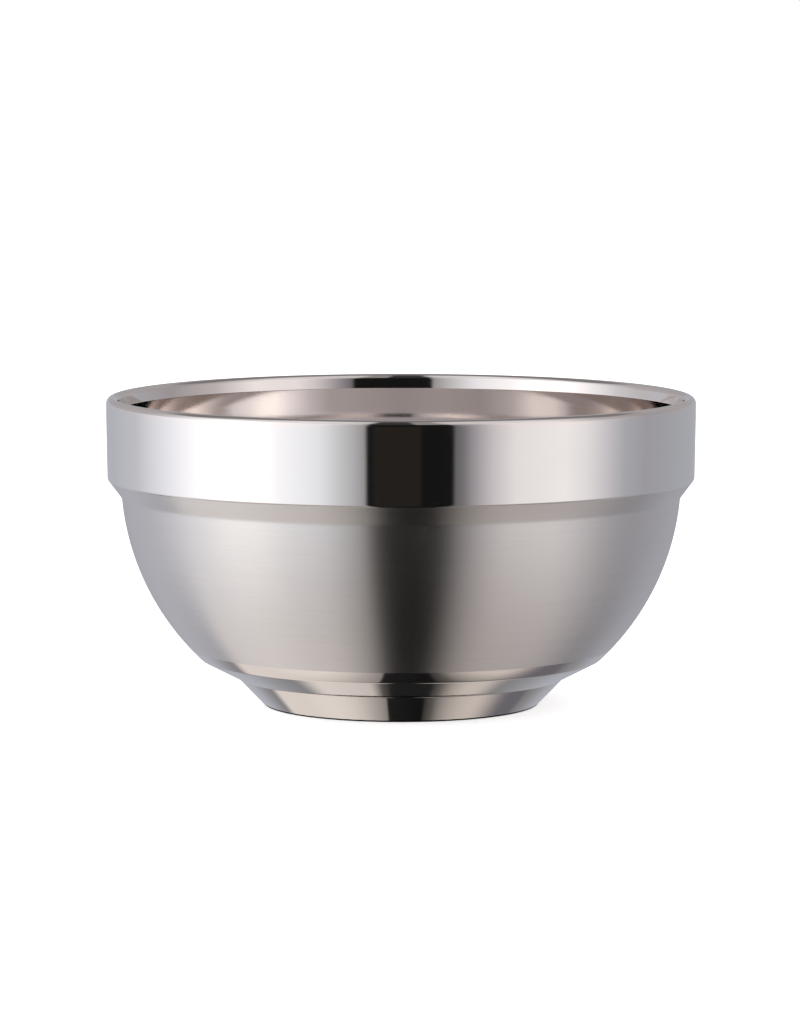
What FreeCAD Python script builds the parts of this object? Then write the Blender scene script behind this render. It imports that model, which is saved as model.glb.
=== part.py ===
"""A double-walled stainless steel shaving bowl.

The bowl is a stack of turned and pressed sheet parts about one upright axis: a liner whose lip rolls
over the rim, an outer shell with a tall upright band, a round belly and a coved foot, and a pressed
disc that closes the foot. Two weld beads and a vent button seal the air gap between the walls.
Millimetres. +Z is up, and the origin is on the ground at the middle of the foot.
"""

import FreeCAD, Part
import math
import os

# ---- Driving dimensions ----------------------------------------------------------------------------

SHEET = 0.5             # thickness of every pressed wall
HEIGHT = 60.5           # ground to the top of the rim
RIM_RADIUS = 57.5       # outside of the band at the rim

# Rim and lip
ROLL_RADIUS = 1.2       # rounded top edge of the lip
LIP_SLOPE = 80.0        # degrees, slope of the lip's inner face above the level
LIP_CREASE_RADIUS = 0.7
WELD_Z = 58.5           # middle of the rim weld
WELD_GAP = 0.6          # height of the weld between the two sheet edges
WELD_BULGE = 0.2        # how far the bead stands into the air gap

# Liner
WALL_RADIUS = 54.8      # upright part of the liner's inside
WALL_FOOT_Z = 54.5      # where the upright wall starts to curve in
SIDE_RADIUS = 46.0      # curve of the liner's side
LINER_FLOOR_Z = 7.0     # inside of the liner at the axis

# Outer shell
BAND_LAND_Z = 56.7      # the band is a true cylinder above this height
BAND_BLEND_RADIUS = 80.0
BAND_FOOT_RADIUS = 57.3
BAND_FOOT_Z = 44.6
BAND_EDGE_RADIUS = 0.8
NECK_Z = 40.9           # where the chamfer under the band meets the belly
NECK_RADIUS = 1.6
BELLY_AXIS_OFFSET = 5.5  # the belly is part of a ring's outside: its arc is centred off the axis
BELLY_CENTRE_Z = 45.05
BELLY_RADIUS = 49.2
BELLY_FOOT_Z = 9.2
BELLY_FOOT_EDGE_RADIUS = 1.5

# Foot
CREASE_POINT_RADIUS = 32.0  # where the cove's shoulder turns into the foot's wall
CREASE_POINT_Z = 5.5
CREASE_RADIUS = 0.8
FOOT_TILT = 44.0        # degrees, the foot's wall leans out from upright
FOOT_EDGE_RADIUS = 1.2
COLLAR_RADIUS = 24.5    # the shell turns up inside the foot to this radius
COLLAR_EDGE_RADIUS = 1.2
COLLAR_TOP_Z = 3.4

# Base disc
DISC_Z = 3.2            # underside of the disc
DISC_EDGE_RADIUS = 0.6
DISC_RIM_Z = 1.9        # lower edge of the disc's turned-down rim
RIB_INNER_RADIUS = 12.0
RIB_OUTER_RADIUS = 16.0
RIB_HEIGHT = 0.6        # the stiffening rib is pressed up by this much
RIB_SLOPE_LENGTH = 0.9
RIB_EDGE_RADIUS = 0.8
BEAD_HEIGHT = 0.6       # fillet weld under the disc's rim

# Vent
VENT_RADIUS = 0.8       # hole that lets hot air out while the walls are welded
BUTTON_RADIUS = 2.2     # metal button that closes it
BUTTON_HEIGHT = 0.5

SECTION_PLANE = Part.Plane(FreeCAD.Vector(0, 0, 0), FreeCAD.Vector(0, -1, 0))


# ---- Section drawing -------------------------------------------------------------------------------

def at(radius, height):
    """A point of the half section."""
    return FreeCAD.Vector(radius, 0, height)


def on_circle(centre, radius, degrees):
    """The point of a circle at an angle above the level."""
    angle = math.radians(degrees)
    return centre + at(radius * math.cos(angle), radius * math.sin(angle))


def line(start, end):
    return Part.LineSegment(start, end).toShape()


def turn(centre, radius, start_degrees, end_degrees):
    """An arc about a centre, from one angle to another."""
    middle_degrees = (start_degrees + end_degrees) / 2
    return Part.Arc(
        on_circle(centre, radius, start_degrees),
        on_circle(centre, radius, middle_degrees),
        on_circle(centre, radius, end_degrees),
    ).toShape()


def bowed(start, end, bulge):
    """An arc between two points that stands out to the left of the straight way by a bulge."""
    along = end - start
    left = at(-along.z, along.x)
    left.normalize()
    return Part.Arc(start, (start + end) / 2 + left * bulge, end).toShape()


def rounded(edges, radii):
    """The edges as one wire, each corner with its own radius, 0 for a smooth or sharp one."""
    trimmed = [edges[0]]
    for radius, following in zip(radii, edges[1:]):
        if radius:
            corner = Part.ChFi2d.AnaFilletAlgo()
            corner.init(trimmed[-1], following, SECTION_PLANE)
            corner.perform(radius)
            fillet, before, after = corner.result()
            trimmed[-1] = before
            trimmed += [fillet, after]
        else:
            trimmed.append(following)
    return Part.Wire(trimmed)


def revolved(face):
    return face.revolve(FreeCAD.Vector(0, 0, 0), FreeCAD.Vector(0, 0, 1), 360)


def pressed(profile, thickness):
    """Sheet metal turned about the axis. The profile is its seen side; a positive thickness lies on
    the left of the profile's direction, a negative one on the right."""
    return revolved(profile.makeOffset2D(thickness, join=0, fill=True, openResult=True))


def turned(edges):
    """A solid ring or button from a closed half section."""
    return revolved(Part.Face(Part.Wire(edges)))


# ---- Parts -----------------------------------------------------------------------------------------

def inner_bowl():
    """The liner: a shallow floor curve, a tighter side curve, an upright wall, and the lip, which
    slopes out and up, rolls over the rim and ends in a short upright skirt."""
    side_centre = at(WALL_RADIUS - SIDE_RADIUS, WALL_FOOT_Z)
    drop = WALL_FOOT_Z - LINER_FLOOR_Z
    floor_radius = (drop**2 + side_centre.x**2 - SIDE_RADIUS**2) / (2 * (drop - SIDE_RADIUS))
    floor_centre = at(0, LINER_FLOOR_Z + floor_radius)
    join = math.degrees(math.atan2(side_centre.z - floor_centre.z, side_centre.x))

    roll_centre = at(RIM_RADIUS - ROLL_RADIUS, HEIGHT - ROLL_RADIUS)
    roll_start_degrees = 90 + LIP_SLOPE
    roll_start = on_circle(roll_centre, ROLL_RADIUS, roll_start_degrees)
    lip_rise = (roll_start.x - WALL_RADIUS) * math.tan(math.radians(LIP_SLOPE))
    crease = at(WALL_RADIUS, roll_start.z - lip_rise)

    profile = rounded(
        [
            turn(floor_centre, floor_radius, -90, join),
            turn(side_centre, SIDE_RADIUS, join, 0),
            line(at(WALL_RADIUS, WALL_FOOT_Z), crease),
            line(crease, roll_start),
            turn(roll_centre, ROLL_RADIUS, roll_start_degrees, 0),
            line(at(RIM_RADIUS, roll_centre.z), at(RIM_RADIUS, WELD_Z + WELD_GAP / 2)),
        ],
        [0, 0, LIP_CREASE_RADIUS, 0, 0],
    )
    return pressed(profile, -SHEET)


def outer_shell():
    """The outside wall, from the collar inside the foot, round the foot and its cove, up the belly,
    over the chamfer and up the band to the rim weld."""
    foot_corner = at(CREASE_POINT_RADIUS - CREASE_POINT_Z * math.tan(math.radians(FOOT_TILT)), 0)
    crease = at(CREASE_POINT_RADIUS, CREASE_POINT_Z)
    belly_centre = at(BELLY_AXIS_OFFSET, BELLY_CENTRE_Z)
    belly_start = math.degrees(math.asin((BELLY_FOOT_Z - BELLY_CENTRE_Z) / BELLY_RADIUS))
    belly_end = math.degrees(math.asin((NECK_Z - BELLY_CENTRE_Z) / BELLY_RADIUS))
    belly_foot = on_circle(belly_centre, BELLY_RADIUS, belly_start)
    neck = on_circle(belly_centre, BELLY_RADIUS, belly_end)
    band_foot = at(BAND_FOOT_RADIUS, BAND_FOOT_Z)
    band_land = at(RIM_RADIUS, BAND_LAND_Z)

    profile = rounded(
        [
            line(at(COLLAR_RADIUS, COLLAR_TOP_Z), at(COLLAR_RADIUS, 0)),
            line(at(COLLAR_RADIUS, 0), foot_corner),
            line(foot_corner, crease),
            line(crease, belly_foot),
            turn(belly_centre, BELLY_RADIUS, belly_start, belly_end),
            line(neck, band_foot),
            line(band_foot, band_land),
            line(band_land, at(RIM_RADIUS, WELD_Z - WELD_GAP / 2)),
        ],
        [
            COLLAR_EDGE_RADIUS,
            FOOT_EDGE_RADIUS,
            CREASE_RADIUS,
            BELLY_FOOT_EDGE_RADIUS,
            NECK_RADIUS,
            BAND_EDGE_RADIUS,
            BAND_BLEND_RADIUS,
        ],
    )
    return pressed(profile, SHEET)


def base_disc():
    """The disc pressed into the foot: a vent hole, a stiffening rib and a turned-down rim."""
    rim_inside = COLLAR_RADIUS - SHEET
    rib_top_z = DISC_Z + RIB_HEIGHT
    corners = [
        at(VENT_RADIUS, DISC_Z),
        at(RIB_INNER_RADIUS, DISC_Z),
        at(RIB_INNER_RADIUS + RIB_SLOPE_LENGTH, rib_top_z),
        at(RIB_OUTER_RADIUS - RIB_SLOPE_LENGTH, rib_top_z),
        at(RIB_OUTER_RADIUS, DISC_Z),
        at(rim_inside, DISC_Z),
        at(rim_inside, DISC_RIM_Z),
    ]
    edges = [line(start, end) for start, end in zip(corners, corners[1:])]
    rib_radii = [RIB_EDGE_RADIUS] * 4
    return pressed(rounded(edges, rib_radii + [DISC_EDGE_RADIUS]), SHEET)


def rim_weld():
    """The bead between the liner's skirt and the shell's top edge, ground flush outside."""
    top_z = WELD_Z + WELD_GAP / 2
    foot_z = WELD_Z - WELD_GAP / 2
    inside = RIM_RADIUS - SHEET
    return turned(
        [
            line(at(inside, foot_z), at(RIM_RADIUS, foot_z)),
            line(at(RIM_RADIUS, foot_z), at(RIM_RADIUS, top_z)),
            line(at(RIM_RADIUS, top_z), at(inside, top_z)),
            bowed(at(inside, top_z), at(inside, foot_z), -WELD_BULGE),
        ]
    )


def base_weld():
    """The flat-faced fillet bead under the disc's rim, against the collar of the foot."""
    inside = COLLAR_RADIUS - SHEET
    bead_foot_z = DISC_RIM_Z - BEAD_HEIGHT
    return turned(
        [
            line(at(inside, DISC_RIM_Z), at(COLLAR_RADIUS, DISC_RIM_Z)),
            line(at(COLLAR_RADIUS, DISC_RIM_Z), at(COLLAR_RADIUS, bead_foot_z)),
            line(at(COLLAR_RADIUS, bead_foot_z), at(inside, DISC_RIM_Z)),
        ]
    )


def vent_seal():
    """The button that fills the vent hole and stands under the disc as a low dome, part of a ball."""
    top_z = DISC_Z + SHEET
    ball_radius = (BUTTON_RADIUS**2 + BUTTON_HEIGHT**2) / (2 * BUTTON_HEIGHT)
    ball_centre = at(0, DISC_Z - BUTTON_HEIGHT + ball_radius)
    dome_edge = math.degrees(math.asin(BUTTON_RADIUS / ball_radius)) - 90
    return turned(
        [
            turn(ball_centre, ball_radius, -90, dome_edge),
            line(at(BUTTON_RADIUS, DISC_Z), at(VENT_RADIUS, DISC_Z)),
            line(at(VENT_RADIUS, DISC_Z), at(VENT_RADIUS, top_z)),
            line(at(VENT_RADIUS, top_z), at(0, top_z)),
            line(at(0, top_z), at(0, DISC_Z - BUTTON_HEIGHT)),
        ]
    )


# ---- Output ----------------------------------------------------------------------------------------

PARTS = [inner_bowl, outer_shell, base_disc, rim_weld, base_weld, vent_seal]

os.makedirs("parts", exist_ok=True)
for make in PARTS:
    solid = make()
    solid.exportStep(f"parts/{make.__name__}.step")
    box = solid.BoundBox
    print(
        f"{make.__name__}: {solid.ShapeType} valid {solid.isValid()} volume {solid.Volume:.1f} "
        f"radius {box.XMax:.2f} z {box.ZMin:.2f} to {box.ZMax:.2f}"
    )
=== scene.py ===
"""The look of a double-walled stainless steel shaving bowl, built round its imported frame.

Every piece is turned: a section is drawn in the plane of radius and height, and a node tree carries it
round the upright axis. Metres. A section point is a complex number, radius + 1j * height.
"""

import cmath
import math

import bmesh
import bpy
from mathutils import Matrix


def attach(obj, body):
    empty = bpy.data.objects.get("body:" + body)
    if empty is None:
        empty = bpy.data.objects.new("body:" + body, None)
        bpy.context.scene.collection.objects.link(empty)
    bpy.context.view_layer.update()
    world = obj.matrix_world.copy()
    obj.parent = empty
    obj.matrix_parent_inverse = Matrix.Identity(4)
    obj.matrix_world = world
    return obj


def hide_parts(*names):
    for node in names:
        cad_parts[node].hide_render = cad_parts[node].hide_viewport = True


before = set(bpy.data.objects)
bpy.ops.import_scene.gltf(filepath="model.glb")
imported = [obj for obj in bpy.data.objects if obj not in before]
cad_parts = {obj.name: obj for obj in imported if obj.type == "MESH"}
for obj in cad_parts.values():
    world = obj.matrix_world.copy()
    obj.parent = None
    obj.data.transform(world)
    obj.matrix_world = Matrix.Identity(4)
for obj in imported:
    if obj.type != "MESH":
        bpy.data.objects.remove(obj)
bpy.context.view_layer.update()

bl_info = {
    "name": "Shaving Bowl",
    "version": (1, 0, 0),
    "blender": (4, 5, 0),
    "location": "3D View > Sidebar > Shaving Bowl",
    "description": "A double-walled steel shaving bowl on a pale floor",
    "category": "Add Mesh",
}

MILLIMETRE = 0.001

ARC_STEP = math.radians(3)      # widest step along an arc of a section
ARC_STEPS_LEAST = 5
HOLD = 0.12 * MILLIMETRE        # a straight stretch has a point this close to each end, to hold its shading
STRAIGHT_STEP = 4 * MILLIMETRE
MERGE_DISTANCE = 0.001 * MILLIMETRE
SHARP_ANGLE = math.radians(32)
FINE_STEP = math.radians(5)     # steps along the small edge radii and the roll
FLOOR_STEP, SIDE_STEP = math.radians(0.75), math.radians(1.25)
BELLY_STEP = math.radians(0.6)
FILLET_PASSES = 8
FULL_PUSH_RADIUS = 1 * MILLIMETRE   # ripples fade inside this radius, so that a pole stays one point

RIPPLE_NOISE_SCALE = 6
BEAD_SEGMENTS, BEAD_RIPPLES, BEAD_RIPPLE_HEIGHT, BEAD_SEED = 1152, 192, 0.04 * MILLIMETRE, 3
BUTTON_SEGMENTS, BUTTON_RIPPLES, BUTTON_RIPPLE_HEIGHT, BUTTON_SEED = 96, 5, 0.03 * MILLIMETRE, 7
UV_MAP = "UVMap"

MIRROR, SATIN, HIDDEN = 0, 1, 2     # the finishes along a section


# ---- Settings --------------------------------------------------------------------------------------

def length(name, description, millimetres):
    return bpy.props.FloatProperty(
        name=name, description=description, default=millimetres * MILLIMETRE,
        min=0, precision=5, unit="LENGTH", subtype="DISTANCE",
    )


def angle(name, description, degrees):
    return bpy.props.FloatProperty(
        name=name, description=description, default=math.radians(degrees),
        unit="ROTATION", subtype="ANGLE",
    )


def share(name, description, value):
    return bpy.props.FloatProperty(
        name=name, description=description, default=value, min=0, max=1, subtype="FACTOR",
    )


def colour(name, description, red, green, blue):
    return bpy.props.FloatVectorProperty(
        name=name, description=description, default=(red, green, blue),
        min=0, max=1, size=3, subtype="COLOR",
    )


class BowlSizes(bpy.types.PropertyGroup):
    """Sizes of the bowl's sections."""

    sheet: length("Sheet", "Thickness of every pressed wall", 0.5)
    height: length("Height", "Ground to the top of the rim", 60.5)
    rim_radius: length("Rim radius", "Outside of the band at the rim", 57.5)

    roll_radius: length("Roll radius", "Rounded top edge of the lip", 1.2)
    lip_slope: angle("Lip slope", "Slope of the lip's inner face above the level", 80)
    lip_crease_radius: length("Lip crease", "Radius where the lip leaves the wall", 0.7)
    weld_height: length("Weld height", "Middle of the rim weld", 58.5)
    weld_gap: length("Weld gap", "Height of the weld between the two sheet edges", 0.6)
    weld_bulge: length("Weld bulge", "How far the bead stands into the air gap", 0.2)

    wall_radius: length("Wall radius", "Upright part of the liner's inside", 54.8)
    wall_foot: length("Wall foot", "Height where the upright wall starts to curve in", 54.5)
    side_radius: length("Side radius", "Curve of the liner's side", 46)
    liner_floor: length("Liner floor", "Inside of the liner at the axis", 7)

    band_land: length("Band land", "The band is a true cylinder above this height", 56.7)
    band_blend: length("Band blend", "Radius of the blend into the cylinder", 80)
    band_foot_radius: length("Band foot radius", "Outside of the band at its lower edge", 57.3)
    band_foot: length("Band foot", "Height of the band's lower edge", 44.6)
    band_edge: length("Band edge", "Radius of the band's lower edge", 0.8)
    neck: length("Neck", "Height where the chamfer meets the belly", 40.9)
    neck_radius: length("Neck radius", "Radius in the neck", 1.6)
    belly_offset: length("Belly offset", "How far off the axis the belly's arc is centred", 5.5)
    belly_centre: length("Belly centre", "Height of the centre of the belly's arc", 45.05)
    belly_radius: length("Belly radius", "Radius of the belly's arc", 49.2)
    belly_foot: length("Belly foot", "Height of the belly's lower end", 9.2)
    belly_foot_edge: length("Belly foot edge", "Radius where the belly meets the shoulder", 1.5)
    satin_foot: length("Satin foot", "Height where the satin of the belly gives way to polish", 11.5)

    crease_point_radius: length("Crease point", "Radius of the corner over the foot's wall", 32)
    crease_point: length("Crease height", "Height of the corner over the foot's wall", 5.5)
    crease_radius: length("Crease radius", "Radius in the crease of the foot", 0.8)
    foot_tilt: angle("Foot tilt", "The foot's wall leans out from upright", 44)
    foot_edge: length("Foot edge", "Radius of the foot's lower edge", 1.2)
    collar_radius: length("Collar radius", "The shell turns up inside the foot to this radius", 24.5)
    collar_edge: length("Collar edge", "Radius at the foot of the collar", 1.2)
    collar_top: length("Collar top", "Height of the collar's end", 3.4)

    disc_height: length("Disc height", "Underside of the base disc", 3.2)
    disc_edge: length("Disc edge", "Radius where the disc turns down", 0.6)
    disc_rim: length("Disc rim", "Lower edge of the disc's turned-down rim", 1.9)
    rib_inner: length("Rib inner radius", "Inner edge of the stiffening rib", 12)
    rib_outer: length("Rib outer radius", "Outer edge of the stiffening rib", 16)
    rib_height: length("Rib height", "How far the rib is pressed up", 0.6)
    rib_slope: length("Rib slope", "Length of each slope of the rib", 0.9)
    rib_edge: length("Rib edge", "Radius of the rib's edges", 0.8)
    bead_height: length("Bead height", "Fillet weld under the disc's rim", 0.6)

    vent_radius: length("Vent radius", "Hole that let hot air out", 0.8)
    button_radius: length("Button radius", "Metal button that closes the vent", 2.2)
    button_height: length("Button height", "How far the button stands out", 0.5)

    segments: bpy.props.IntProperty(
        name="Segments", description="Steps round the axis", default=288, min=16, max=720,
    )


class BowlFinishes(bpy.types.PropertyGroup):
    """Colours and finishes of the metal."""

    polished: colour("Polished steel", "Colour of the mirror-polished steel", 0.80, 0.775, 0.755)
    liner: colour("Liner steel", "Colour of the polished liner", 0.83, 0.775, 0.745)
    satin: colour("Satin steel", "Colour of the satin steel", 0.79, 0.765, 0.75)
    turned: colour("Turned steel", "Colour of the base disc", 0.66, 0.65, 0.64)
    weld: colour("Weld metal", "Colour of the weld metal", 0.60, 0.57, 0.54)
    heat_tint: colour("Heat tint", "Straw colour that the weld's heat left", 0.62, 0.47, 0.28)
    polished_roughness: share("Polished roughness", "Roughness of the mirror polish", 0.045)
    satin_roughness: share("Satin roughness", "Roughness of the satin", 0.36)
    turned_roughness: share("Turned roughness", "Roughness of the turned rings", 0.30)


class BowlStage(bpy.types.PropertyGroup):
    """The camera, the floor and the studio."""

    camera_distance: length("Camera distance", "Camera to the bowl's axis, along the level", 1000)
    camera_height: length("Camera height", "Camera above the floor", 141.3)
    camera_side: length("Camera side step", "How far the camera stands to the left", 0.2)
    camera_pitch: angle("Camera pitch", "How far the camera looks down", 5.96)
    camera_lens: bpy.props.FloatProperty(
        name="Lens", description="Focal length on a 36 mm frame", default=179.3, unit="CAMERA",
    )
    studio_strength: bpy.props.FloatProperty(
        name="Studio strength", description="Brightness of the studio in the steel", default=1.5,
    )
    floor_radius: length("Floor radius", "How far the floor reaches", 30000)
    floor_tone: colour("Floor", "Colour of the floor", 0.92, 0.92, 0.92)


# ---- Sections --------------------------------------------------------------------------------------

class Straight:
    """A straight stretch of a section."""

    def __init__(self, start, end, finish=HIDDEN):
        self.start, self.end, self.finish = start, end, finish

    def left_at(self, point):
        along = self.end - self.start
        return 1j * along / abs(along)

    def offset_of(self, point):
        """How far a point lies to the left of the stretch."""
        return ((point - self.start) * self.left_at(point).conjugate()).real

    def cut(self, start=None, end=None):
        self.start = self.start if start is None else start
        self.end = self.end if end is None else end

    def stations(self):
        """Points along the stretch, each with its left normal."""
        along = self.end - self.start
        reach = abs(along)
        hold = min(HOLD, reach / 4)
        steps = max(math.ceil((reach - 2 * hold) / STRAIGHT_STEP), 1)
        places = [0] + [hold + (reach - 2 * hold) * i / steps for i in range(steps + 1)] + [reach]
        return [(self.start + along * place / reach, self.left_at(self.start)) for place in places]


class Bend:
    """An arc of a section, anticlockwise where its angle grows."""

    def __init__(self, centre, radius, start_angle, end_angle, finish=HIDDEN, step=ARC_STEP):
        self.centre, self.radius, self.finish, self.step = centre, radius, finish, step
        self.start_angle, self.end_angle = start_angle, end_angle

    @property
    def way(self):
        return 1 if self.end_angle > self.start_angle else -1

    @property
    def start(self):
        return self.centre + cmath.rect(self.radius, self.start_angle)

    @property
    def end(self):
        return self.centre + cmath.rect(self.radius, self.end_angle)

    def left_at(self, point):
        outward = (point - self.centre) / abs(point - self.centre)
        return -self.way * outward

    def offset_of(self, point):
        """How far a point lies to the left of the arc."""
        return self.way * (self.radius - abs(point - self.centre))

    def cut(self, start=None, end=None):
        if start is not None:
            self.start_angle = cmath.phase(start - self.centre)
        if end is not None:
            self.end_angle = cmath.phase(end - self.centre)

    def stations(self):
        """Points along the arc, each with its left normal."""
        sweep = self.end_angle - self.start_angle
        steps = max(math.ceil(abs(sweep) / self.step), ARC_STEPS_LEAST)
        angles = [self.start_angle + sweep * i / steps for i in range(steps + 1)]
        return [
            (self.centre + cmath.rect(self.radius, a), -self.way * cmath.rect(1, a)) for a in angles
        ]


def split_at_height(bend, height, finish_below):
    """A rising arc as two, with another finish below a height."""
    middle = math.asin((height - bend.centre.imag) / bend.radius)
    below = Bend(bend.centre, bend.radius, bend.start_angle, middle, finish_below, bend.step)
    above = Bend(bend.centre, bend.radius, middle, bend.end_angle, bend.finish, bend.step)
    return below, above


def fillet(before, after, radius, finish):
    """The arc that rounds the corner between two stretches, which are cut back to it."""
    centre = before.end
    turn = (before.left_at(centre).conjugate() * after.left_at(centre)).imag
    side = 1 if turn > 0 else -1
    for _ in range(FILLET_PASSES):
        normal_before, normal_after = before.left_at(centre), after.left_at(centre)
        gap_before = side * radius - before.offset_of(centre)
        gap_after = side * radius - after.offset_of(centre)
        cross = (normal_before.conjugate() * normal_after).imag
        centre += -1j * (gap_before * normal_after - gap_after * normal_before) / cross
    normal_before, normal_after = before.left_at(centre), after.left_at(centre)
    touch_before = centre - side * radius * normal_before
    touch_after = centre - side * radius * normal_after
    before.cut(end=touch_before)
    after.cut(start=touch_after)
    start_angle = cmath.phase(touch_before - centre)
    sweep = cmath.phase(normal_after / normal_before)
    return Bend(centre, radius, start_angle, start_angle + sweep, finish, FINE_STEP)


def rounded(stretches, corners):
    """The stretches with their corners rounded. A corner is (radius, finish), or None to leave it."""
    path = [stretches[0]]
    for corner, following in zip(corners, stretches[1:]):
        if corner:
            path.append(fillet(path[-1], following, *corner))
        path.append(following)
    return path


def points_along(path):
    """The stations of a path in order, as (point, left normal, finish of what follows)."""
    stations = []
    for stretch in path:
        for point, left in stretch.stations():
            if stations and abs(stations[-1][0] - point) < MERGE_DISTANCE:
                stations.pop()
            stations.append((point, left, stretch.finish))
    return stations


def sheet_section(path, thickness):
    """The outline of sheet metal: its seen side, then the other side back. A positive thickness lies
    on the left of the path."""
    seen = points_along(path)
    back = [(point + thickness * left, -left, HIDDEN) for point, left, _ in reversed(seen)]
    seen[-1] = (seen[-1][0], seen[-1][1], HIDDEN)
    outline = seen + back
    if seen[0][0].real > MERGE_DISTANCE:
        outline.append(outline[0])
    return outline


def solid_section(stretches):
    """The outline of a solid ring or button. A ring's outline closes on itself, and a button's
    starts and ends on the axis."""
    outline = points_along(stretches)
    if outline[0][0].real > MERGE_DISTANCE:
        outline.append(outline[0])
    return outline


def chain(corners, finish=HIDDEN):
    """Straight stretches from corner to corner."""
    return [Straight(start, end, finish) for start, end in zip(corners, corners[1:])]


def liner_section(size):
    """A shallow floor curve, a tighter side curve, an upright wall, the lip, the roll and the skirt."""
    side_centre = complex(size.wall_radius - size.side_radius, size.wall_foot)
    drop = size.wall_foot - size.liner_floor
    floor_radius = (drop**2 + side_centre.real**2 - size.side_radius**2) / (
        2 * (drop - size.side_radius)
    )
    floor_centre = complex(0, size.liner_floor + floor_radius)
    join = cmath.phase(side_centre - floor_centre)

    roll_centre = complex(size.rim_radius - size.roll_radius, size.height - size.roll_radius)
    roll_start = math.radians(90) + size.lip_slope
    lip_top = roll_centre + cmath.rect(size.roll_radius, roll_start)
    lip_rise = (lip_top.real - size.wall_radius) * math.tan(size.lip_slope)
    crease = complex(size.wall_radius, lip_top.imag - lip_rise)
    skirt_end = complex(size.rim_radius, size.weld_height + size.weld_gap / 2)

    path = rounded(
        [
            Bend(floor_centre, floor_radius, -math.pi / 2, join, MIRROR, FLOOR_STEP),
            Bend(side_centre, size.side_radius, join, 0, MIRROR, SIDE_STEP),
            *chain([complex(size.wall_radius, size.wall_foot), crease, lip_top], MIRROR),
            Bend(roll_centre, size.roll_radius, roll_start, 0, MIRROR, FINE_STEP),
            Straight(complex(size.rim_radius, roll_centre.imag), skirt_end, MIRROR),
        ],
        [None, None, (size.lip_crease_radius, MIRROR), None, None],
    )
    return sheet_section(path, -size.sheet)


def shell_section(size):
    """From the collar inside the foot, round the foot and its cove, up the belly and the band."""
    tilt = math.tan(size.foot_tilt)
    foot_corner = complex(size.crease_point_radius - size.crease_point * tilt, 0)
    crease = complex(size.crease_point_radius, size.crease_point)
    belly_centre = complex(size.belly_offset, size.belly_centre)
    belly_start = math.asin((size.belly_foot - size.belly_centre) / size.belly_radius)
    belly_end = math.asin((size.neck - size.belly_centre) / size.belly_radius)
    belly = Bend(belly_centre, size.belly_radius, belly_start, belly_end, SATIN, BELLY_STEP)
    band_foot = complex(size.band_foot_radius, size.band_foot)
    band_land = complex(size.rim_radius, size.band_land)
    shell_top = complex(size.rim_radius, size.weld_height - size.weld_gap / 2)
    collar_top = complex(size.collar_radius, size.collar_top)
    collar_foot = complex(size.collar_radius, 0)

    path = rounded(
        [
            *chain([collar_top, collar_foot, foot_corner, crease, belly.start], MIRROR),
            belly,
            Straight(belly.end, band_foot, SATIN),
            *chain([band_foot, band_land, shell_top], MIRROR),
        ],
        [
            (size.collar_edge, MIRROR),
            (size.foot_edge, MIRROR),
            (size.crease_radius, MIRROR),
            (size.belly_foot_edge, MIRROR),
            (size.neck_radius, SATIN),
            (size.band_edge, MIRROR),
            (size.band_blend, MIRROR),
        ],
    )
    place = path.index(belly)
    path[place:place + 1] = split_at_height(belly, size.satin_foot, MIRROR)
    return sheet_section(path, size.sheet)


def disc_section(size):
    """The disc: a vent hole, a stiffening rib and a turned-down rim."""
    rim_inside = size.collar_radius - size.sheet
    rib_top = size.disc_height + size.rib_height
    corners = [
        complex(size.vent_radius, size.disc_height),
        complex(size.rib_inner, size.disc_height),
        complex(size.rib_inner + size.rib_slope, rib_top),
        complex(size.rib_outer - size.rib_slope, rib_top),
        complex(size.rib_outer, size.disc_height),
        complex(rim_inside, size.disc_height),
        complex(rim_inside, size.disc_rim),
    ]
    path = rounded(chain(corners, MIRROR), [(size.rib_edge, MIRROR)] * 4 + [(size.disc_edge, MIRROR)])
    return sheet_section(path, size.sheet)


def rim_weld_section(size):
    """The bead between the liner's skirt and the shell's top edge, ground flush outside."""
    top = size.weld_height + size.weld_gap / 2
    foot = size.weld_height - size.weld_gap / 2
    inside = size.rim_radius - size.sheet
    swell = (size.weld_gap**2 / 4 + size.weld_bulge**2) / (2 * size.weld_bulge)
    spread = math.asin(size.weld_gap / 2 / swell)
    centre = complex(inside - size.weld_bulge + swell, size.weld_height)
    return solid_section([
        Straight(complex(inside, foot), complex(size.rim_radius, foot)),
        Straight(complex(size.rim_radius, foot), complex(size.rim_radius, top), MIRROR),
        Straight(complex(size.rim_radius, top), complex(inside, top)),
        Bend(centre, swell, math.pi - spread, math.pi + spread),
    ])


def base_weld_section(size):
    """The fillet bead under the disc's rim, against the collar of the foot."""
    inner = complex(size.collar_radius - size.sheet, size.disc_rim)
    outer = complex(size.collar_radius, size.disc_rim)
    foot = outer - 1j * size.bead_height
    return solid_section([Straight(inner, foot, MIRROR), *chain([foot, outer, inner])])


def vent_section(size):
    """The button that fills the vent hole and stands under the disc as a low dome."""
    top = size.disc_height + size.sheet
    ball = (size.button_radius**2 + size.button_height**2) / (2 * size.button_height)
    centre = complex(0, size.disc_height - size.button_height + ball)
    dome_edge = math.asin(size.button_radius / ball) - math.pi / 2
    return solid_section([
        Bend(centre, ball, -math.pi / 2, dome_edge, MIRROR),
        *chain([
            complex(size.button_radius, size.disc_height),
            complex(size.vent_radius, size.disc_height),
            complex(size.vent_radius, top),
            complex(0, top),
        ]),
    ])


# ---- Node trees ------------------------------------------------------------------------------------

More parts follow.
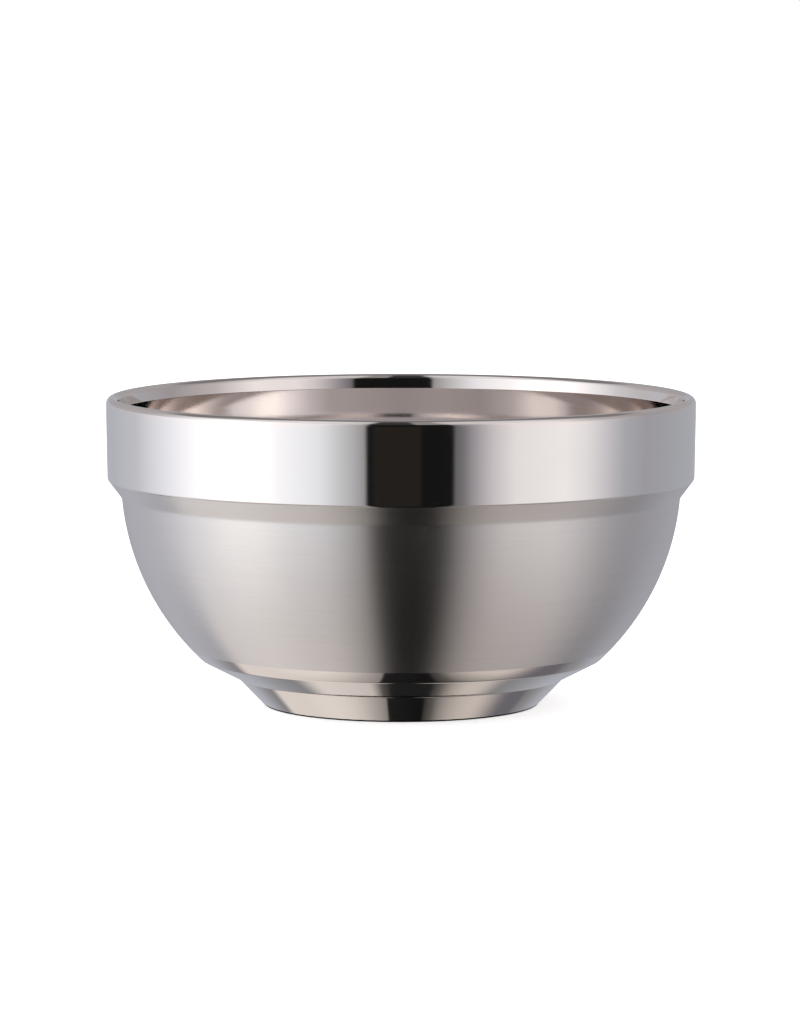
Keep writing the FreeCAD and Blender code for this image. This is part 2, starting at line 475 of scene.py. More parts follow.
class Wiring:
    """Short calls that fill one node tree."""

    def __init__(self, tree):
        self.tree = tree

    def feed(self, socket, value):
        if isinstance(value, bpy.types.NodeSocket):
            self.tree.links.new(value, socket)
        else:
            socket.default_value = value

    def add(self, kind, inputs=None, **settings):
        """A node with its settings, then its inputs, by socket name or number."""
        node = self.tree.nodes.new(kind)
        for name, value in settings.items():
            setattr(node, name, value)
        for name, value in (inputs or {}).items():
            self.feed(node.inputs[name], value)
        return node

    def math(self, operation, *values):
        node = self.add("ShaderNodeMath", operation=operation)
        for socket, value in zip(node.inputs, values):
            self.feed(socket, value)
        return node.outputs[0]

    def times(self, first, second):
        return self.math("MULTIPLY", first, second)

    def plus(self, base, value, factor):
        """The base plus a value times a factor."""
        return self.math("ADD", base, self.times(value, factor))

    def combine(self, x, y, z):
        return self.add("ShaderNodeCombineXYZ", {0: x, 1: y, 2: z}).outputs[0]

    def separate(self, vector):
        return self.add("ShaderNodeSeparateXYZ", {0: vector}).outputs

    def spread(self, value, low, high, new_low=0, new_high=1, kind="LINEAR"):
        """A value carried from one range to another, and held inside it."""
        node = self.add("ShaderNodeMapRange", interpolation_type=kind)
        for socket, number in zip(node.inputs, (value, low, high, new_low, new_high)):
            self.feed(socket, number)
        return node.outputs[0]

    def fade(self, value, low, high):
        return self.spread(value, low, high, kind="SMOOTHSTEP")

    def ramp(self, place, stops):
        """A colour ramp. Stops are (place, colour)."""
        node = self.add("ShaderNodeValToRGB", {0: place})
        ramp = node.color_ramp
        while len(ramp.elements) > 1:
            ramp.elements.remove(ramp.elements[-1])
        for number, (position, tone) in enumerate(stops):
            element = ramp.elements[0] if number == 0 else ramp.elements.new(position)
            element.position = position
            element.color = (*tone, 1)
        return node.outputs[0]

    def blend(self, factor, first, second):
        node = self.add("ShaderNodeMix", data_type="RGBA")
        self.feed(node.inputs[0], factor)
        self.feed(node.inputs[6], first)
        self.feed(node.inputs[7], second)
        return node.outputs[2]


FINISH_SOCKETS = ("Mirror", "Satin", "Hidden")


def turning_tree():
    """The node tree that carries a section round the upright axis."""
    name = "turn_round_axis"
    if name in bpy.data.node_groups:
        return bpy.data.node_groups[name]
    tree = bpy.data.node_groups.new(name, "GeometryNodeTree")
    ports = tree.interface
    ports.new_socket("Section", in_out="INPUT", socket_type="NodeSocketGeometry")
    for label, kind in (("Segments", "NodeSocketInt"), ("Ripples", "NodeSocketInt"),
                        ("Ripple Height", "NodeSocketFloat"), ("Seed", "NodeSocketInt"),
                        ("Sharp Angle", "NodeSocketFloat")):
        ports.new_socket(label, in_out="INPUT", socket_type=kind)
    for label in FINISH_SOCKETS:
        ports.new_socket(label, in_out="INPUT", socket_type="NodeSocketMaterial")
    ports.new_socket("Piece", in_out="OUTPUT", socket_type="NodeSocketGeometry")

    wires = Wiring(tree)
    given = wires.add("NodeGroupInput").outputs
    section, segments = given["Section"], given["Segments"]
    count = wires.add("GeometryNodeAttributeDomainSize", {0: section}, component="MESH")
    row = wires.math("ADD", segments, 1)
    grid = wires.add(
        "GeometryNodeMeshGrid",
        {"Size X": 1, "Size Y": 1, "Vertices X": count.outputs["Point Count"], "Vertices Y": row},
    ).outputs["Mesh"]

    def from_section(index, kind, attribute=None):
        """A value of the section at a point's place in it."""
        sample = wires.add("GeometryNodeSampleIndex", data_type=kind, domain="POINT", clamp=True)
        wires.feed(sample.inputs["Geometry"], section)
        if attribute:
            source = wires.add("GeometryNodeInputNamedAttribute", {"Name": attribute}, data_type=kind)
        else:
            source = wires.add("GeometryNodeInputPosition")
        wires.feed(sample.inputs["Value"], source.outputs[0])
        wires.feed(sample.inputs["Index"], index)
        return sample.outputs[0]

    index = wires.add("GeometryNodeInputIndex").outputs[0]
    middle = wires.math("ADD", index, 0.5)
    along = wires.math("FLOOR", wires.math("DIVIDE", middle, row))
    step = wires.math("SUBTRACT", index, wires.times(along, row))
    turn = wires.math("DIVIDE", step, segments)
    azimuth = wires.times(turn, math.tau)

    wave = wires.times(azimuth, wires.math("DIVIDE", given["Ripples"], 2))
    scale = wires.math("ABSOLUTE", wires.math("SINE", wave))
    noise = wires.add("ShaderNodeTexNoise", noise_dimensions="4D")
    circle = wires.combine(wires.math("COSINE", azimuth), wires.math("SINE", azimuth), 0)
    wires.feed(noise.inputs["Vector"], circle)
    wires.feed(noise.inputs["W"], given["Seed"])
    wires.feed(noise.inputs["Scale"], RIPPLE_NOISE_SCALE)
    lift = wires.times(wires.math("ADD", scale, noise.outputs[0]), given["Ripple Height"])

    push = wires.separate(from_section(along, "FLOAT_VECTOR", "push"))
    place = wires.separate(from_section(along, "FLOAT_VECTOR"))
    radius = wires.math("ADD", place[0], wires.times(push[0], lift))
    height = wires.math("ADD", place[2], wires.times(push[2], lift))
    position = wires.combine(
        wires.times(radius, wires.math("COSINE", azimuth)),
        wires.times(radius, wires.math("SINE", azimuth)),
        height,
    )
    turned = wires.add("GeometryNodeSetPosition", {"Geometry": grid, "Position": position}).outputs[0]

    def store(geometry, name, value, kind, domain):
        """The geometry with a named attribute on it."""
        node = wires.add("GeometryNodeStoreNamedAttribute", data_type=kind, domain=domain)
        for label, given_value in (("Geometry", geometry), ("Name", name), ("Value", value)):
            wires.feed(node.inputs[label], given_value)
        return node.outputs[0]

    # Index counts points here, so the map is worked out on the points and then handed to the corners.
    at_points = wires.add("GeometryNodeFieldOnDomain", data_type="FLOAT_VECTOR", domain="POINT")
    wires.feed(at_points.inputs[0], wires.combine(turn, from_section(along, "FLOAT", "run"), 0))
    mapped = store(turned, UV_MAP, at_points.outputs[0], "FLOAT2", "CORNER")
    face_row = wires.math("FLOOR", wires.math("DIVIDE", middle, segments))
    marked = store(mapped, "finish", from_section(face_row, "INT", "finish"), "INT", "FACE")

    merged = wires.add(
        "GeometryNodeMergeByDistance", {"Geometry": marked, "Distance": MERGE_DISTANCE}
    ).outputs[0]
    smooth = wires.add("GeometryNodeSetShadeSmooth", {"Geometry": merged}, domain="FACE").outputs[0]
    bend = wires.add("GeometryNodeInputMeshEdgeAngle").outputs["Unsigned Angle"]
    sharp = wires.add("GeometryNodeSetShadeSmooth", {"Geometry": smooth}, domain="EDGE")
    wires.feed(sharp.inputs["Selection"], wires.math("GREATER_THAN", bend, given["Sharp Angle"]))
    wires.feed(sharp.inputs["Shade Smooth"], False)

    piece = wires.add("GeometryNodeRealizeInstances", {"Geometry": sharp.outputs[0]}).outputs[0]
    for number, label in enumerate(FINISH_SOCKETS):
        finish = wires.add(
            "GeometryNodeInputNamedAttribute", {"Name": "finish"}, data_type="INT"
        ).outputs[0]
        chosen = wires.add("FunctionNodeCompare", data_type="INT", operation="EQUAL")
        wires.feed(chosen.inputs[2], finish)
        wires.feed(chosen.inputs[3], number)
        painted = wires.add("GeometryNodeSetMaterial", {"Geometry": piece})
        wires.feed(painted.inputs["Selection"], chosen.outputs[0])
        wires.feed(painted.inputs["Material"], given[label])
        piece = painted.outputs[0]
    wires.add("NodeGroupOutput", {"Piece": piece})
    return tree


def section_object(name, outline):
    """The points of a section, with what the turning tree reads from them."""
    mesh = bpy.data.meshes.new(name)
    mesh.from_pydata([(point.real, 0, point.imag) for point, _, _ in outline], [], [])
    run = mesh.attributes.new("run", "FLOAT", "POINT")
    finish = mesh.attributes.new("finish", "INT", "POINT")
    push = mesh.attributes.new("push", "FLOAT_VECTOR", "POINT")
    travelled = 0
    previous = outline[0][0]
    for number, (point, left, kind) in enumerate(outline):
        travelled += abs(point - previous)
        previous = point
        run.data[number].value = travelled
        finish.data[number].value = kind
        outward = -left * min(point.real / FULL_PUSH_RADIUS, 1) if kind != HIDDEN else 0j
        push.data[number].vector = (outward.real, 0, outward.imag)
    holder = bpy.data.objects.new(name, mesh)
    bpy.context.scene.collection.objects.link(holder)
    return holder


def turned_piece(name, outline, materials, segments, ripples=0, ripple_height=0.0, seed=0):
    """A finished piece: the section turned round the axis, as a plain mesh with outward normals."""
    holder = section_object(name + "_section", outline)
    modifier = holder.modifiers.new("turn", "NODES")
    tree = turning_tree()
    modifier.node_group = tree
    values = {
        "Segments": segments, "Ripples": ripples, "Ripple Height": ripple_height, "Seed": seed,
        "Sharp Angle": SHARP_ANGLE,
    }
    for label, material in zip(FINISH_SOCKETS, materials):
        values[label] = material
    for item in tree.interface.items_tree:
        if item.in_out == "INPUT" and item.name in values:
            modifier[item.identifier] = values[item.name]
    evaluated = holder.evaluated_get(bpy.context.evaluated_depsgraph_get())
    mesh = bpy.data.meshes.new_from_object(evaluated)
    mesh.name = name
    section_mesh = holder.data
    bpy.data.objects.remove(holder)
    bpy.data.meshes.remove(section_mesh)
    if not mesh.polygons:
        raise RuntimeError(name + ": the section gave no faces")

    shape = bmesh.new()
    shape.from_mesh(mesh)
    bmesh.ops.recalc_face_normals(shape, faces=shape.faces)
    shape.to_mesh(mesh)
    shape.free()
    piece = bpy.data.objects.new(name, mesh)
    bpy.context.scene.collection.objects.link(piece)
    return piece


def settle(piece, node):
    """Ties a finished piece to the frame."""
    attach(piece, "root")
    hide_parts(node)


# ---- Materials -------------------------------------------------------------------------------------

def steel(name):
    """An empty metal material, with its wiring and its shader."""
    material = bpy.data.materials.new(name)
    material.use_nodes = True
    material.node_tree.nodes.clear()
    wires = Wiring(material.node_tree)
    shader = wires.add("ShaderNodeBsdfPrincipled", {"Metallic": 1.0})
    wires.add("ShaderNodeOutputMaterial", {"Surface": shader.outputs[0]})
    return material, wires, shader


def object_place(wires):
    return wires.add("ShaderNodeTexCoord").outputs["Object"]


def turned_coordinates(wires, around, across):
    """Coordinates that run slowly round the axis and fast across the turning, with no seam."""
    place = wires.separate(object_place(wires))
    flat = wires.combine(place[0], place[1], 0)
    heading = wires.add("ShaderNodeVectorMath", {0: flat}, operation="NORMALIZE").outputs[0]
    heading = wires.separate(heading)
    uv = wires.separate(wires.add("ShaderNodeUVMap", uv_map=UV_MAP).outputs[0])
    return wires.combine(
        wires.times(heading[0], around),
        wires.times(heading[1], around),
        wires.times(uv[1], across),
    )


def noise(wires, coordinates, scale, detail=2.0, roughness=0.5):
    texture = wires.add(
        "ShaderNodeTexNoise",
        {"Vector": coordinates, "Scale": scale, "Detail": detail, "Roughness": roughness},
    )
    return texture.outputs[0]


def coat(wires, shader, base, shine):
    wires.feed(shader.inputs["Base Color"], base)
    wires.feed(shader.inputs["Roughness"], shine)


def toned(tone, factor):
    """A colour times a factor, held at 1."""
    return tuple(min(value * factor, 1) for value in tone)


def emboss(wires, shader, strength, depth, relief):
    """Lets a relief bend the light, a depth being in millimetres."""
    bump = wires.add(
        "ShaderNodeBump", {"Strength": strength, "Distance": depth * MILLIMETRE, "Height": relief}
    )
    wires.feed(shader.inputs["Normal"], bump.outputs[0])


def brush(wires, shader, amount):
    """Stretches the highlights across the turning."""
    wires.feed(shader.inputs["Anisotropic"], amount)
    wires.feed(shader.inputs["Anisotropic Rotation"], 0.25)
    tangent = wires.add("ShaderNodeTangent", direction_type="UV_MAP", uv_map=UV_MAP)
    wires.feed(shader.inputs["Tangent"], tangent.outputs[0])


def mirror_steel(name, tone, roughness):
    """Mirror-polished steel: faint spin lines, broad smudges and a few hairline scratches."""
    material, wires, shader = steel(name)
    place = object_place(wires)
    smudge = wires.fade(noise(wires, place, 45, 4, 0.6), 0.45, 0.75)
    spin_lines = noise(wires, turned_coordinates(wires, 1.2, 9000), 1, 3, 0.6)
    hairlines = noise(wires, turned_coordinates(wires, 14, 2600), 1)
    scratch = wires.spread(hairlines, 0.70, 0.76)

    shine = wires.plus(wires.plus(roughness, smudge, 0.025), spin_lines, 0.015)
    dulled = (*toned(tone, 0.965), 1)
    base = wires.blend(wires.times(smudge, 0.6), (*tone, 1), dulled)
    coat(wires, shader, base, shine)

    waves = wires.times(noise(wires, place, 90, 1, 0.4), 1.2)
    relief = wires.plus(wires.plus(waves, spin_lines, 0.12), scratch, -0.25)
    emboss(wires, shader, 0.35, 0.01, relief)
    return material


def satin_steel(name, tone, roughness):
    """Satin steel brushed round the axis: fine lines of uneven depth, and slow changes in tone."""
    material, wires, shader = steel(name)
    brush(wires, shader, 1.0)
    fine = noise(wires, turned_coordinates(wires, 2.5, 7000), 1, 4, 0.7)
    coarse = noise(wires, turned_coordinates(wires, 1.0, 1400), 1)
    cloud = noise(wires, object_place(wires), 30)
    lines = wires.plus(wires.times(fine, 0.7), coarse, 0.3)

    shine = wires.plus(wires.plus(roughness - 0.035, lines, 0.04), cloud, 0.03)
    base = wires.ramp(lines, [(0.3, toned(tone, 0.95)), (0.5, tone), (0.7, toned(tone, 1.02))])
    coat(wires, shader, base, shine)
    emboss(wires, shader, 0.12, 0.02, lines)
    return material


def turned_steel(name, tone, roughness):
    """The base disc: rings left by the turning tool, with a little grime in them."""
    material, wires, shader = steel(name)
    brush(wires, shader, 0.7)
    run = wires.separate(wires.add("ShaderNodeUVMap", uv_map=UV_MAP).outputs[0])[1]
    ring = wires.math("SINE", wires.times(run, math.tau / (0.28 * MILLIMETRE)))
    ring = wires.spread(ring, -1, 1)
    uneven = noise(wires, turned_coordinates(wires, 2.0, 2500), 1, 4, 0.65)
    lines = wires.plus(wires.times(ring, 0.35), uneven, 0.65)
    grime = wires.fade(noise(wires, object_place(wires), 140, 5, 0.65), 0.5, 0.72)

    shine = wires.plus(wires.plus(roughness - 0.06, lines, 0.12), grime, 0.12)
    soiled = tuple(value * factor for value, factor in zip(tone, (0.74, 0.71, 0.66)))
    metal = wires.ramp(lines, [(0.25, toned(tone, 0.82)), (0.6, tone)])
    base = wires.blend(wires.times(grime, 0.55), metal, (*soiled, 1))
    coat(wires, shader, base, shine)
    emboss(wires, shader, 0.5, 0.04, lines)
    return material


def weld_metal(name, tone, tint):
    """Weld metal: matt and grainy, with straw-coloured patches where it was hottest."""
    material, wires, shader = steel(name)
    place = object_place(wires)
    grain = noise(wires, place, 2600, 4, 0.6)
    patches = wires.fade(noise(wires, place, 320, 3), 0.42, 0.66)
    metal = wires.ramp(grain, [(0.3, toned(tone, 0.8)), (0.65, tone)])
    base = wires.blend(wires.times(patches, 0.6), metal, (*tint, 1))
    coat(wires, shader, base, wires.spread(grain, 0.3, 0.7, 0.3, 0.48))
    emboss(wires, shader, 0.5, 0.05, grain)
    return material


# ---- Operators -------------------------------------------------------------------------------------

class PieceMaker:
    """What the makers of pieces share."""

    def execute(self, context):
        self.make(context.scene.bowl_sizes, context.scene.bowl_finishes)
        return {"FINISHED"}


class BOWL_OT_liner(PieceMaker, bpy.types.Operator):
    """Make the polished liner with its rolled lip"""

    bl_idname = "bowl.make_liner"
    bl_label = "Liner"

    def make(self, size, finish):
        polish = mirror_steel("polished_liner_steel", finish.liner, finish.polished_roughness)
        piece = turned_piece("polished_liner", liner_section(size), [polish] * 3, size.segments)
        settle(piece, "inner_bowl")


class BOWL_OT_shell(PieceMaker, bpy.types.Operator):
    """Make the outer shell: polished band and foot, satin belly"""

    bl_idname = "bowl.make_shell"
    bl_label = "Shell"

    def make(self, size, finish):
        polish = mirror_steel("polished_shell_steel", finish.polished, finish.polished_roughness)
        satin = satin_steel("satin_shell_steel", finish.satin, finish.satin_roughness)
        piece = turned_piece("banded_shell", shell_section(size), [polish, satin, polish], size.segments)
        settle(piece, "outer_shell")


class BOWL_OT_base(PieceMaker, bpy.types.Operator):
    """Make the turned disc that closes the foot"""

    bl_idname = "bowl.make_base"
    bl_label = "Base disc"

    def make(self, size, finish):
        metal = turned_steel("turned_disc_steel", finish.turned, finish.turned_roughness)
        piece = turned_piece("foot_disc", disc_section(size), [metal] * 3, size.segments)
        settle(piece, "base_disc")


class BOWL_OT_welds(PieceMaker, bpy.types.Operator):
    """Make the two weld beads and the vent button"""

    bl_idname = "bowl.make_welds"
    bl_label = "Welds and vent button"

    def make(self, size, finish):
        polish = mirror_steel("ground_weld_steel", finish.polished, finish.polished_roughness)
        metal = weld_metal("bead_steel", finish.weld, finish.heat_tint)
        rim = turned_piece(
            "rim_bead", rim_weld_section(size), [polish, polish, metal], size.segments
        )
        settle(rim, "rim_weld")
        base = turned_piece(
            "foot_bead", base_weld_section(size), [metal] * 3, BEAD_SEGMENTS,
            BEAD_RIPPLES, BEAD_RIPPLE_HEIGHT, BEAD_SEED,
        )
        settle(base, "base_weld")
        button = turned_piece(
            "vent_button", vent_section(size), [metal] * 3, BUTTON_SEGMENTS,
            BUTTON_RIPPLES, BUTTON_RIPPLE_HEIGHT, BUTTON_SEED,
        )
        settle(button, "vent_seal")


# What the steel sees round it, as (degrees to the right of the camera, red, green, blue). Brightness 1 is
# the studio's strength. The left lamp is cool and the right one a little warm, with a dark gap between
# them where the camera stands.
LEVEL_ROOM = [
    (-180, 0.29, 0.30, 0.33), (-150, 0.34, 0.35, 0.39), (-125, 0.42, 0.43, 0.47),
    (-103, 0.65, 0.66, 0.71), (-88, 0.82, 0.83, 0.86), (-76, 1.00, 1.00, 1.00), (-60, 1.00, 1.00, 1.00),
    (-48, 0.79, 0.80, 0.83), (-32, 0.64, 0.65, 0.69), (-24, 0.46, 0.47, 0.49),
    (-17.8, 0.34, 0.34, 0.36), (-13.1, 0.22, 0.22, 0.22), (-12.9, 0.006, 0.006, 0.007),
    (-11, 0.006, 0.006, 0.007), (-10.8, 0.014, 0.012, 0.010), (7.2, 0.014, 0.012, 0.010),
    (7.4, 0.006, 0.006, 0.006), (20, 0.006, 0.006, 0.006), (20.3, 0.10, 0.10, 0.11),
    (23.6, 0.135, 0.13, 0.14), (29, 0.285, 0.27, 0.29), (36, 0.47, 0.45, 0.47), (45, 0.63, 0.61, 0.62),
    (66, 0.70, 0.68, 0.69), (76, 0.62, 0.61, 0.62), (87, 0.45, 0.44, 0.47), (97, 0.31, 0.32, 0.35),
    (110, 0.27, 0.27, 0.30), (140, 0.29, 0.30, 0.33), (180, 0.29, 0.30, 0.33),
]
# The same round the back, seen a little above the level.
RAISED_ROOM = [
    (-180, 0.26, 0.25, 0.26), (-155, 0.29, 0.28, 0.29), (-119, 0.34, 0.33, 0.34),
    (-103, 0.46, 0.47, 0.50), (-84, 0.77, 0.77, 0.80), (-72, 1.00, 1.00, 1.00), (-60, 1.00, 1.00, 1.00),
    (-48, 0.79, 0.80, 0.83), (-32, 0.64, 0.65, 0.69), (-24, 0.46, 0.47, 0.49),
    (-13.1, 0.22, 0.22, 0.22), (-12.9, 0.006, 0.006, 0.007), (20, 0.006, 0.006, 0.006),
    (20.3, 0.10, 0.10, 0.11), (29, 0.285, 0.27, 0.29), (36, 0.47, 0.45, 0.47), (45, 0.63, 0.61, 0.62),
    (65, 0.67, 0.65, 0.66), (85, 0.38, 0.37, 0.38), (112, 0.26, 0.25, 0.26), (146, 0.29, 0.28, 0.29),
    (180, 0.26, 0.25, 0.26),
]
# What it sees below the level, as (degrees off the upright plane through the camera, red, green,
# blue). The dark gap stays a stripe that runs under the bowl.
LOW_ROOM = [
    (-90, 0.38, 0.35, 0.345), (-64, 0.40, 0.37, 0.36), (-48, 0.60, 0.55, 0.52), (-41, 0.59, 0.54, 0.51),
    (-35, 0.49, 0.45, 0.42), (-26, 0.34, 0.31, 0.29), (-13.6, 0.18, 0.165, 0.155),
    (-13.2, 0.01, 0.01, 0.01), (20.4, 0.005, 0.005, 0.005), (22, 0.03, 0.028, 0.026),
    (27.7, 0.08, 0.072, 0.067), (36.5, 0.31, 0.28, 0.26), (42, 0.46, 0.41, 0.38),
    (50, 0.42, 0.375, 0.35), (64, 0.27, 0.245, 0.24), (90, 0.26, 0.235, 0.23),
]
# The same in front of the bowl, where the floor is darker than under it.
FRONT_LOW_ROOM = [
    (-90, 0.36, 0.33, 0.32), (-60, 0.33, 0.30, 0.285), (-44, 0.33, 0.30, 0.28), (-35, 0.31, 0.28, 0.26),
    (-26, 0.28, 0.255, 0.24), (-13.6, 0.20, 0.185, 0.17), (-13.2, 0.01, 0.01, 0.01),
    (20.4, 0.005, 0.005, 0.005), (22, 0.07, 0.063, 0.058), (28, 0.15, 0.135, 0.125),
    (36.5, 0.22, 0.20, 0.185), (48, 0.24, 0.215, 0.20), (90, 0.23, 0.205, 0.19),
]
# What it sees low down behind the bowl, as LEVEL_ROOM.
REAR_LOW_ROOM = [
    (-180, 0.01, 0.01, 0.01), (-177.4, 0.01, 0.01, 0.01), (-176, 0.42, 0.38, 0.36),
    (-170, 0.56, 0.51, 0.48), (-90, 0.56, 0.51, 0.48), (90, 0.11, 0.105, 0.12),
    (157, 0.11, 0.105, 0.12), (165, 0.42, 0.38, 0.35), (172, 0.42, 0.38, 0.35), (175, 0.01, 0.01, 0.01),
    (180, 0.01, 0.01, 0.01),
]
REAR_FLOOR = (0.165, 0.16, 0.165)
# What it sees overhead, towards the camera, as LOW_ROOM. Behind the bowl the ceiling is one tone.
HIGH_ROOM = [
    (-90, 0.50, 0.50, 0.52), (-45, 0.62, 0.62, 0.64), (-17, 0.42, 0.42, 0.44), (-13, 0.03, 0.03, 0.03),
    (5, 0.03, 0.03, 0.03), (7, 0.20, 0.20, 0.20), (18, 0.20, 0.20, 0.20), (22, 0.42, 0.41, 0.42),
    (60, 0.56, 0.55, 0.56), (90, 0.45, 0.45, 0.47),
]
REAR_CEILING = (0.15, 0.145, 0.15)
RAISED_STARTS, RAISED_FULL = 2, 9      # elevations, degrees
LEVEL_ENDS, LOW_STARTS = -20, -40
CEILING_STARTS, CEILING_FULL = 34, 42
REAR_LOW_STARTS, REAR_LOW_FULL = -36, -41
UNDER_SHARE = 0.31      # how much of the way down counts as away from the upright plane
# Where one part of the room gives way to the next, as shares of the way to the back.
FRONT_FLOOR_ENDS, UNDER_STARTS = -0.3, 0
UNDER_ENDS, BEHIND_STARTS = 0.3, 0.55
FRONT_CEILING_ENDS, REAR_CEILING_STARTS = -0.1, 0.3

SENSOR_WIDTH = 36       # millimetres
CLIP_NEAR, CLIP_FAR = 0.01, 200
FLOOR_SIDES, SHADE_SIDES = 96, 64
SHADE_RADIUS, SHADE_DEPTH = 27 * MILLIMETRE, 0.2 * MILLIMETRE   # the black round under the foot, a painted shadow that only the steel's reflections see
LAMP_WIDTH, LAMP_HEIGHT, LAMP_POWER = 1.2, 1.4, 6
LAMP_ASIDE, LAMP_FORWARD, LAMP_UP = 1.1, -0.6, 0.9
LAMP_TILT, LAMP_TURN = math.radians(55), math.radians(60)
FLOOR_GLOW = 0.5


def studio_world(strength):
    """A white sky for the camera and the floor, and the studio for what the steel reflects."""
    world = bpy.data.worlds.new("studio")
    world.cycles.sampling_method = "NONE"
    world.use_nodes = True
    world.node_tree.nodes.clear()
    wires = Wiring(world.node_tree)
    heading = wires.separate(wires.add("ShaderNodeTexCoord").outputs["Generated"])
    azimuth = wires.math("ARCTAN2", heading[0], wires.times(heading[1], -1))
    place = wires.math("ADD", wires.math("DIVIDE", azimuth, math.tau), 0.5)
    elevation = wires.math("DEGREES", wires.math("ARCSINE", heading[2]))

    along = wires.combine(heading[1], wires.times(heading[2], UNDER_SHARE), 0)
    along = wires.add("ShaderNodeVectorMath", {0: along}, operation="LENGTH").outputs["Value"]
    aside = wires.math("ARCTAN2", heading[0], along)
    aside = wires.math("ADD", wires.math("DIVIDE", aside, math.pi), 0.5)

    def room(stops, where=place, whole_turn=360):
        return wires.ramp(where, [(degrees / whole_turn + 0.5, tone) for degrees, *tone in stops])

    raised = wires.fade(elevation, RAISED_STARTS, RAISED_FULL)
    low = wires.fade(elevation, LEVEL_ENDS, LOW_STARTS)
    high = wires.fade(elevation, CEILING_STARTS, CEILING_FULL)
    seen = wires.blend(raised, room(LEVEL_ROOM), room(RAISED_ROOM))
    rear = wires.fade(elevation, REAR_LOW_STARTS, REAR_LOW_FULL)
    rear = wires.blend(rear, (*REAR_FLOOR, 1), room(REAR_LOW_ROOM))
    under = wires.fade(heading[1], FRONT_FLOOR_ENDS, UNDER_STARTS)
    under = wires.blend(under, room(FRONT_LOW_ROOM, aside, 180), room(LOW_ROOM, aside, 180))
    behind = wires.fade(heading[1], UNDER_ENDS, BEHIND_STARTS)
    seen = wires.blend(low, seen, wires.blend(behind, under, rear))
    over = wires.fade(heading[1], FRONT_CEILING_ENDS, REAR_CEILING_STARTS)
    over = wires.blend(over, room(HIGH_ROOM, aside, 180), (*REAR_CEILING, 1))
    seen = wires.blend(high, seen, over)
    studio = wires.add("ShaderNodeBackground", {"Color": seen, "Strength": strength})
    white = wires.add("ShaderNodeBackground", {"Color": (1, 1, 1, 1), "Strength": 1.0})
    ray = wires.add("ShaderNodeLightPath").outputs
    mix = wires.add("ShaderNodeMixShader")
    wires.feed(mix.inputs[0], ray["Is Glossy Ray"])
    wires.feed(mix.inputs[1], white.outputs[0])
    wires.feed(mix.inputs[2], studio.outputs[0])
    wires.add("ShaderNodeOutputWorld", {"Surface": mix.outputs[0]})
    bpy.context.scene.world = world


def floor_material(tone):
    """A plain pale floor, faintly mottled, that glows a little so that its shadows stay soft."""
    material = bpy.data.materials.new("pale_floor")
    material.use_nodes = True
    material.node_tree.nodes.clear()
    wires = Wiring(material.node_tree)
    mottle = noise(wires, object_place(wires), 3)
    base = wires.ramp(mottle, [(0.3, toned(tone, 0.995)), (0.7, tone)])
    shader = wires.add("ShaderNodeBsdfPrincipled", {
        "Base Color": base, "Roughness": 0.9, "Specular IOR Level": 0.0,
        "Emission Color": (1, 1, 1, 1), "Emission Strength": FLOOR_GLOW,
    })
    wires.add("ShaderNodeOutputMaterial", {"Surface": shader.outputs[0]})
    return material


def disc_mesh(name, radius, height, sides):
    """A flat round of faces about the axis."""
    mesh = bpy.data.meshes.new(name)
    shape = bmesh.new()
    bmesh.ops.create_circle(shape, cap_ends=True, radius=radius, segments=sides)
    bmesh.ops.translate(shape, verts=shape.verts, vec=(0, 0, height))
    shape.to_mesh(mesh)
    shape.free()
    disc = bpy.data.objects.new(name, mesh)
    bpy.context.scene.collection.objects.link(disc)
    return disc


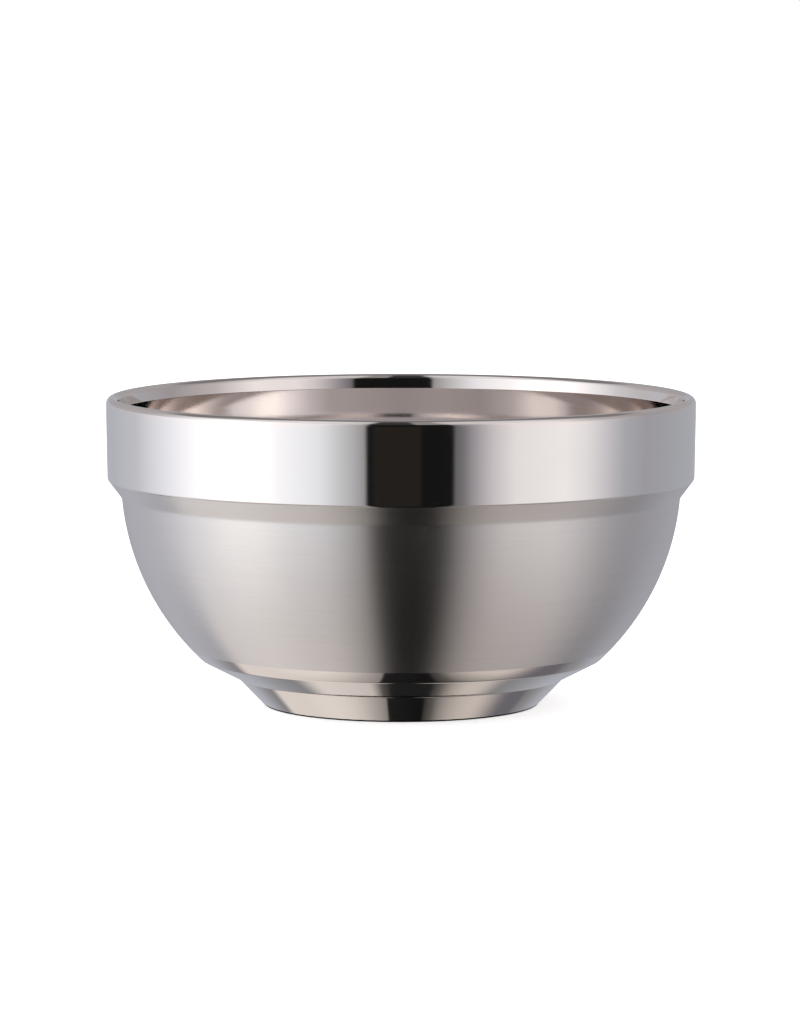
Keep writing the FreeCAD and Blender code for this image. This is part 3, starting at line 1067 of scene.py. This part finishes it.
class BOWL_OT_stage(bpy.types.Operator):
    """Make the floor, the studio and the camera"""

    bl_idname = "bowl.make_stage"
    bl_label = "Stage"

    def execute(self, context):
        stage, scene = context.scene.bowl_stage, context.scene
        scene.view_settings.view_transform = "Standard"
        scene.view_settings.look = "None"

        data = bpy.data.cameras.new("camera")
        data.lens = stage.camera_lens
        data.sensor_width = SENSOR_WIDTH
        data.clip_start, data.clip_end = CLIP_NEAR, CLIP_FAR
        camera = bpy.data.objects.new("camera", data)
        camera.location = (-stage.camera_side, -stage.camera_distance, stage.camera_height)
        camera.rotation_euler = (math.radians(90) - stage.camera_pitch, 0, 0)
        scene.collection.objects.link(camera)
        scene.camera = camera

        floor = disc_mesh("pale_floor", stage.floor_radius, 0, FLOOR_SIDES)
        floor.data.materials.append(floor_material(stage.floor_tone))
        floor.visible_glossy = False

        # A black disc just under the floor, hidden from the camera, which the steel reflects as a painted
        # contact shadow under the foot.
        shade = disc_mesh("foot_shade", SHADE_RADIUS, -SHADE_DEPTH, SHADE_SIDES)
        dark = bpy.data.materials.new("foot_shade")
        dark.use_nodes = True
        black = dark.node_tree.nodes["Principled BSDF"].inputs
        black["Base Color"].default_value = (0, 0, 0, 1)
        black["Specular IOR Level"].default_value = 0
        shade.data.materials.append(dark)
        shade.visible_camera = shade.visible_diffuse = shade.visible_shadow = False

        studio_world(stage.studio_strength)
        for name, side in (("left_softbox", -1), ("right_softbox", 1)):
            lamp = bpy.data.lights.new(name, "AREA")
            lamp.shape = "RECTANGLE"
            lamp.size, lamp.size_y, lamp.energy = LAMP_WIDTH, LAMP_HEIGHT, LAMP_POWER
            softbox = bpy.data.objects.new(name, lamp)
            softbox.location = (side * LAMP_ASIDE, LAMP_FORWARD, LAMP_UP)
            softbox.rotation_euler = (LAMP_TILT, 0, side * LAMP_TURN)
            softbox.visible_glossy = False
            scene.collection.objects.link(softbox)
        return {"FINISHED"}


class BOWL_PT_panel(bpy.types.Panel):
    """The bowl's sizes, finishes and makers"""

    bl_idname = "BOWL_PT_panel"
    bl_label = "Shaving Bowl"
    bl_space_type = "VIEW_3D"
    bl_region_type = "UI"
    bl_category = "Shaving Bowl"

    def draw(self, context):
        for group in (context.scene.bowl_sizes, context.scene.bowl_finishes, context.scene.bowl_stage):
            box = self.layout.box()
            for name in group.__annotations__:
                box.prop(group, name)
        for maker in MAKERS:
            self.layout.operator(maker.bl_idname)


MAKERS = (BOWL_OT_stage, BOWL_OT_liner, BOWL_OT_shell, BOWL_OT_base, BOWL_OT_welds)
GROUPS = {"bowl_sizes": BowlSizes, "bowl_finishes": BowlFinishes, "bowl_stage": BowlStage}


def register():
    for group in GROUPS.values():
        bpy.utils.register_class(group)
    for name, group in GROUPS.items():
        setattr(bpy.types.Scene, name, bpy.props.PointerProperty(type=group))
    for maker in MAKERS:
        bpy.utils.register_class(maker)
    bpy.utils.register_class(BOWL_PT_panel)


def unregister():
    bpy.utils.unregister_class(BOWL_PT_panel)
    for maker in reversed(MAKERS):
        bpy.utils.unregister_class(maker)
    for name, group in reversed(GROUPS.items()):
        delattr(bpy.types.Scene, name)
        bpy.utils.unregister_class(group)


def main():
    register()
    for maker in MAKERS:
        family, call = maker.bl_idname.split(".")
        getattr(getattr(bpy.ops, family), call)()


if __name__ == "__main__":
    main()
